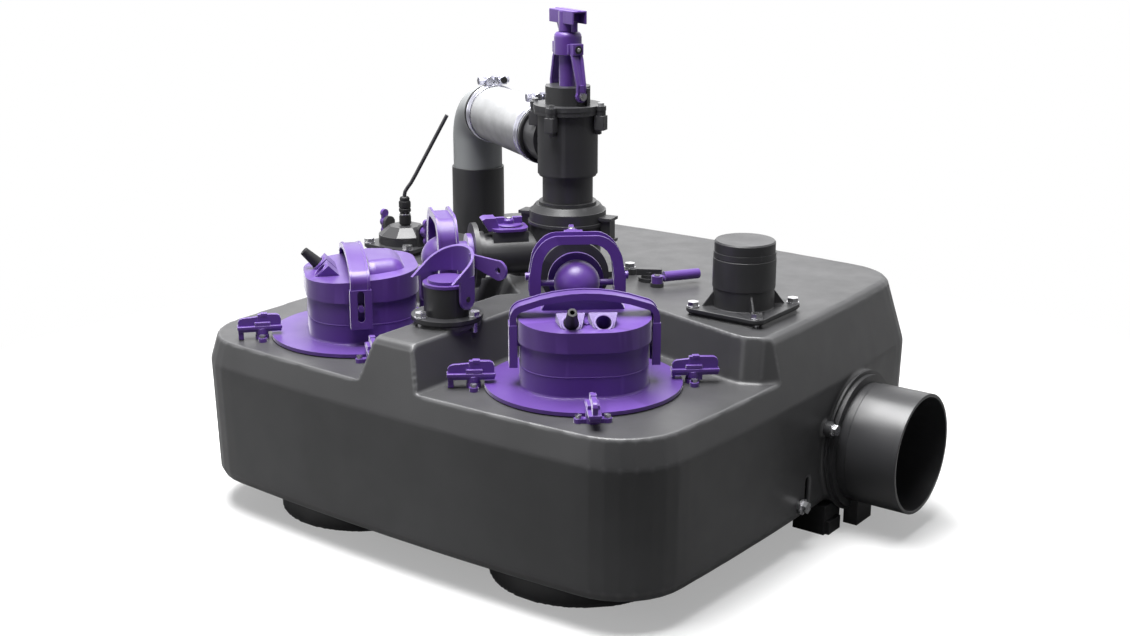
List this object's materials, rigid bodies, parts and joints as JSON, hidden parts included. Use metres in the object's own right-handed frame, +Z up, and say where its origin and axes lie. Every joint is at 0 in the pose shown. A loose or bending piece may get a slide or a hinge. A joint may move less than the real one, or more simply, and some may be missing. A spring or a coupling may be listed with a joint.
{
  "type": "sewage lifting station",
  "caption": "Floor-standing duplex sewage lifting station: moulded tank, lift-out pumps under round covers, check valves, collector, shut-off valve and looped pressure line.",
  "frame": {"origin": "centre of the bounding box at floor level, under the two sump wells", "axes": "+Z up, +X along the long side towards the inlet, +Y towards the back"},
  "size_m": [0.86, 0.734, 0.663],
  "materials": {
    "tank_plastic": "fine moulded grain, satin",
    "purple_plastic": "moulded, satin gloss",
    "dark_plastic": "moulded, satin",
    "black_rubber": "matt",
    "steel": "bright zinc",
    "hose_rubber": "smooth, satin",
    "grey_pvc": "extruded grey pipe, satin",
    "iron": "machined"
  },
  "bodies": {
    "station": {"tank_shell": "tank_plastic", "inlet_foot": "black_rubber", "drain_plug": "steel", "inlet_pipe": "dark_plastic", "inlet_clamp_ring": "dark_plastic", "rubber_seals": "black_rubber", "vent_spigot": "dark_plastic", "vent_cap": "dark_plastic", "flange_bolts": "steel", "pump_cover_a": "purple_plastic", "pump_cover_b": "purple_plastic", "motor_housing_a": "purple_plastic", "motor_housing_b": "purple_plastic", "motor_cap_a": "purple_plastic", "motor_cap_b": "purple_plastic", "cable_boots": "black_rubber", "stators": "iron", "clamp_bases": "purple_plastic", "clamp_screws": "steel", "check_housing_a": "purple_plastic", "check_housing_b": "purple_plastic", "collector": "dark_plastic", "access_covers": "purple_plastic", "split_collar": "dark_plastic", "valve_body": "dark_plastic", "valve_bonnet": "dark_plastic", "valve_yoke": "purple_plastic", "hose": "hose_rubber", "hose_clamps": "steel", "elbow": "grey_pvc", "riser_pipe": "dark_plastic", "sensor_base": "dark_plastic", "sensor_dome": "dark_plastic", "sensor_tube": "black_rubber", "hand_pump_stub": "dark_plastic", "hand_pump_cap": "purple_plastic", "drain_cock": "dark_plastic"},
    "pump_bail_a": {"pump_bail_a": "purple_plastic"},
    "rotor_a": {"rotor_a": "iron"},
    "wing_clamp_a1": {"wing_clamp_a1": "purple_plastic"},
    "wing_clamp_a2": {"wing_clamp_a2": "purple_plastic"},
    "wing_clamp_a3": {"wing_clamp_a3": "purple_plastic"},
    "wing_clamp_a4": {"wing_clamp_a4": "purple_plastic"},
    "check_ball_a": {"check_ball_a": "black_rubber"},
    "release_bail_a": {"release_bail_a": "purple_plastic"},
    "cover_lock_a": {"cover_lock_a": "purple_plastic"},
    "pump_bail_b": {"pump_bail_b": "purple_plastic"},
    "rotor_b": {"rotor_b": "iron"},
    "wing_clamp_b1": {"wing_clamp_b1": "purple_plastic"},
    "wing_clamp_b2": {"wing_clamp_b2": "purple_plastic"},
    "wing_clamp_b3": {"wing_clamp_b3": "purple_plastic"},
    "wing_clamp_b4": {"wing_clamp_b4": "purple_plastic"},
    "check_ball_b": {"check_ball_b": "black_rubber"},
    "release_bail_b": {"release_bail_b": "purple_plastic"},
    "cover_lock_b": {"cover_lock_b": "purple_plastic"},
    "valve_stem": {"valve_stem": "purple_plastic"},
    "hand_pump_bail": {"hand_pump_bail": "purple_plastic"},
    "drain_lever": {"drain_lever": "purple_plastic"},
    "sensor_wing_l": {"sensor_wing_l": "purple_plastic"},
    "sensor_wing_r": {"sensor_wing_r": "purple_plastic"}
  },
  "joints": [
    {"name": "pump_bail_a_lift", "type": "slide", "parent": "station", "child": "pump_bail_a", "axis": [0, 0, 1], "range_m": [0, 0.013]},
    {"name": "rotor_a_spin", "type": "hinge", "parent": "station", "child": "rotor_a", "pos_m": [-0.231, -0.206, 0.2], "axis": [0, 0, 1], "continuous": true},
    {"name": "wing_clamp_a1_turn", "type": "hinge", "parent": "station", "child": "wing_clamp_a1", "pos_m": [-0.31773, -0.30683, 0.255], "axis": [0, 0, 1], "range_deg": [-90, 90]},
    {"name": "wing_clamp_a2_turn", "type": "hinge", "parent": "station", "child": "wing_clamp_a2", "pos_m": [-0.33183, -0.11927, 0.255], "axis": [0, 0, 1], "range_deg": [-90, 90]},
    {"name": "wing_clamp_a3_turn", "type": "hinge", "parent": "station", "child": "wing_clamp_a3", "pos_m": [-0.14427, -0.10517, 0.255], "axis": [0, 0, 1], "range_deg": [-90, 90]},
    {"name": "wing_clamp_a4_turn", "type": "hinge", "parent": "station", "child": "wing_clamp_a4", "pos_m": [-0.13017, -0.29273, 0.255], "axis": [0, 0, 1], "range_deg": [-90, 90]},
    {"name": "check_ball_a_lift", "type": "slide", "parent": "station", "child": "check_ball_a", "axis": [0, 0, 1], "range_m": [0, 0.007]},
    {"name": "release_bail_a_swing", "type": "hinge", "parent": "station", "child": "release_bail_a", "pos_m": [-0.15862, -0.12185, 0.338], "axis": [0.7581, -0.6521, 0], "range_deg": [0, 55]},
    {"name": "cover_lock_a_turn", "type": "hinge", "parent": "station", "child": "cover_lock_a", "pos_m": [-0.10032, -0.0533, 0.382], "axis": [0, 0, 1], "range_deg": [-90, 90]},
    {"name": "pump_bail_b_lift", "type": "slide", "parent": "station", "child": "pump_bail_b", "axis": [0, 0, 1], "range_m": [0, 0.013]},
    {"name": "rotor_b_spin", "type": "hinge", "parent": "station", "child": "rotor_b", "pos_m": [0.137, -0.206, 0.2], "axis": [0, 0, 1], "continuous": true},
    {"name": "wing_clamp_b1_turn", "type": "hinge", "parent": "station", "child": "wing_clamp_b1", "pos_m": [0.22373, -0.30683, 0.255], "axis": [0, 0, 1], "range_deg": [-90, 90]},
    {"name": "wing_clamp_b2_turn", "type": "hinge", "parent": "station", "child": "wing_clamp_b2", "pos_m": [0.23783, -0.11927, 0.255], "axis": [0, 0, 1], "range_deg": [-90, 90]},
    {"name": "wing_clamp_b3_turn", "type": "hinge", "parent": "station", "child": "wing_clamp_b3", "pos_m": [0.05027, -0.10517, 0.255], "axis": [0, 0, 1], "range_deg": [-90, 90]},
    {"name": "wing_clamp_b4_turn", "type": "hinge", "parent": "station", "child": "wing_clamp_b4", "pos_m": [0.03617, -0.29273, 0.255], "axis": [0, 0, 1], "range_deg": [-90, 90]},
    {"name": "check_ball_b_lift", "type": "slide", "parent": "station", "child": "check_ball_b", "axis": [0, 0, 1], "range_m": [0, 0.007]},
    {"name": "release_bail_b_swing", "type": "hinge", "parent": "station", "child": "release_bail_b", "pos_m": [0.06462, -0.12185, 0.338], "axis": [0.7581, 0.6521, 0], "range_deg": [0, 55]},
    {"name": "cover_lock_b_turn", "type": "hinge", "parent": "station", "child": "cover_lock_b", "pos_m": [0.00632, -0.0533, 0.382], "axis": [0, 0, 1], "range_deg": [-90, 90]},
    {"name": "valve_stem_turn", "type": "hinge", "parent": "station", "child": "valve_stem", "pos_m": [-0.047, 0.009, 0.6], "axis": [0, 0, 1], "range_deg": [0, 90]},
    {"name": "hand_pump_bail_swing", "type": "hinge", "parent": "station", "child": "hand_pump_bail", "pos_m": [-0.047, -0.243, 0.33], "axis": [1, 0, 0], "range_deg": [-30, 45]},
    {"name": "drain_lever_turn", "type": "hinge", "parent": "station", "child": "drain_lever", "pos_m": [0.069, 0.056, 0.305], "axis": [0, 0, 1], "range_deg": [-90, 0]},
    {"name": "sensor_wing_l_turn", "type": "hinge", "parent": "station", "child": "sensor_wing_l", "pos_m": [-0.39427, 0.01834, 0.329], "axis": [-0.9848, 0.1736, 0], "range_deg": [-90, 90]},
    {"name": "sensor_wing_r_turn", "type": "hinge", "parent": "station", "child": "sensor_wing_r", "pos_m": [-0.29973, 0.00167, 0.329], "axis": [0.9848, -0.1736, 0], "range_deg": [-90, 90]}
  ]
}
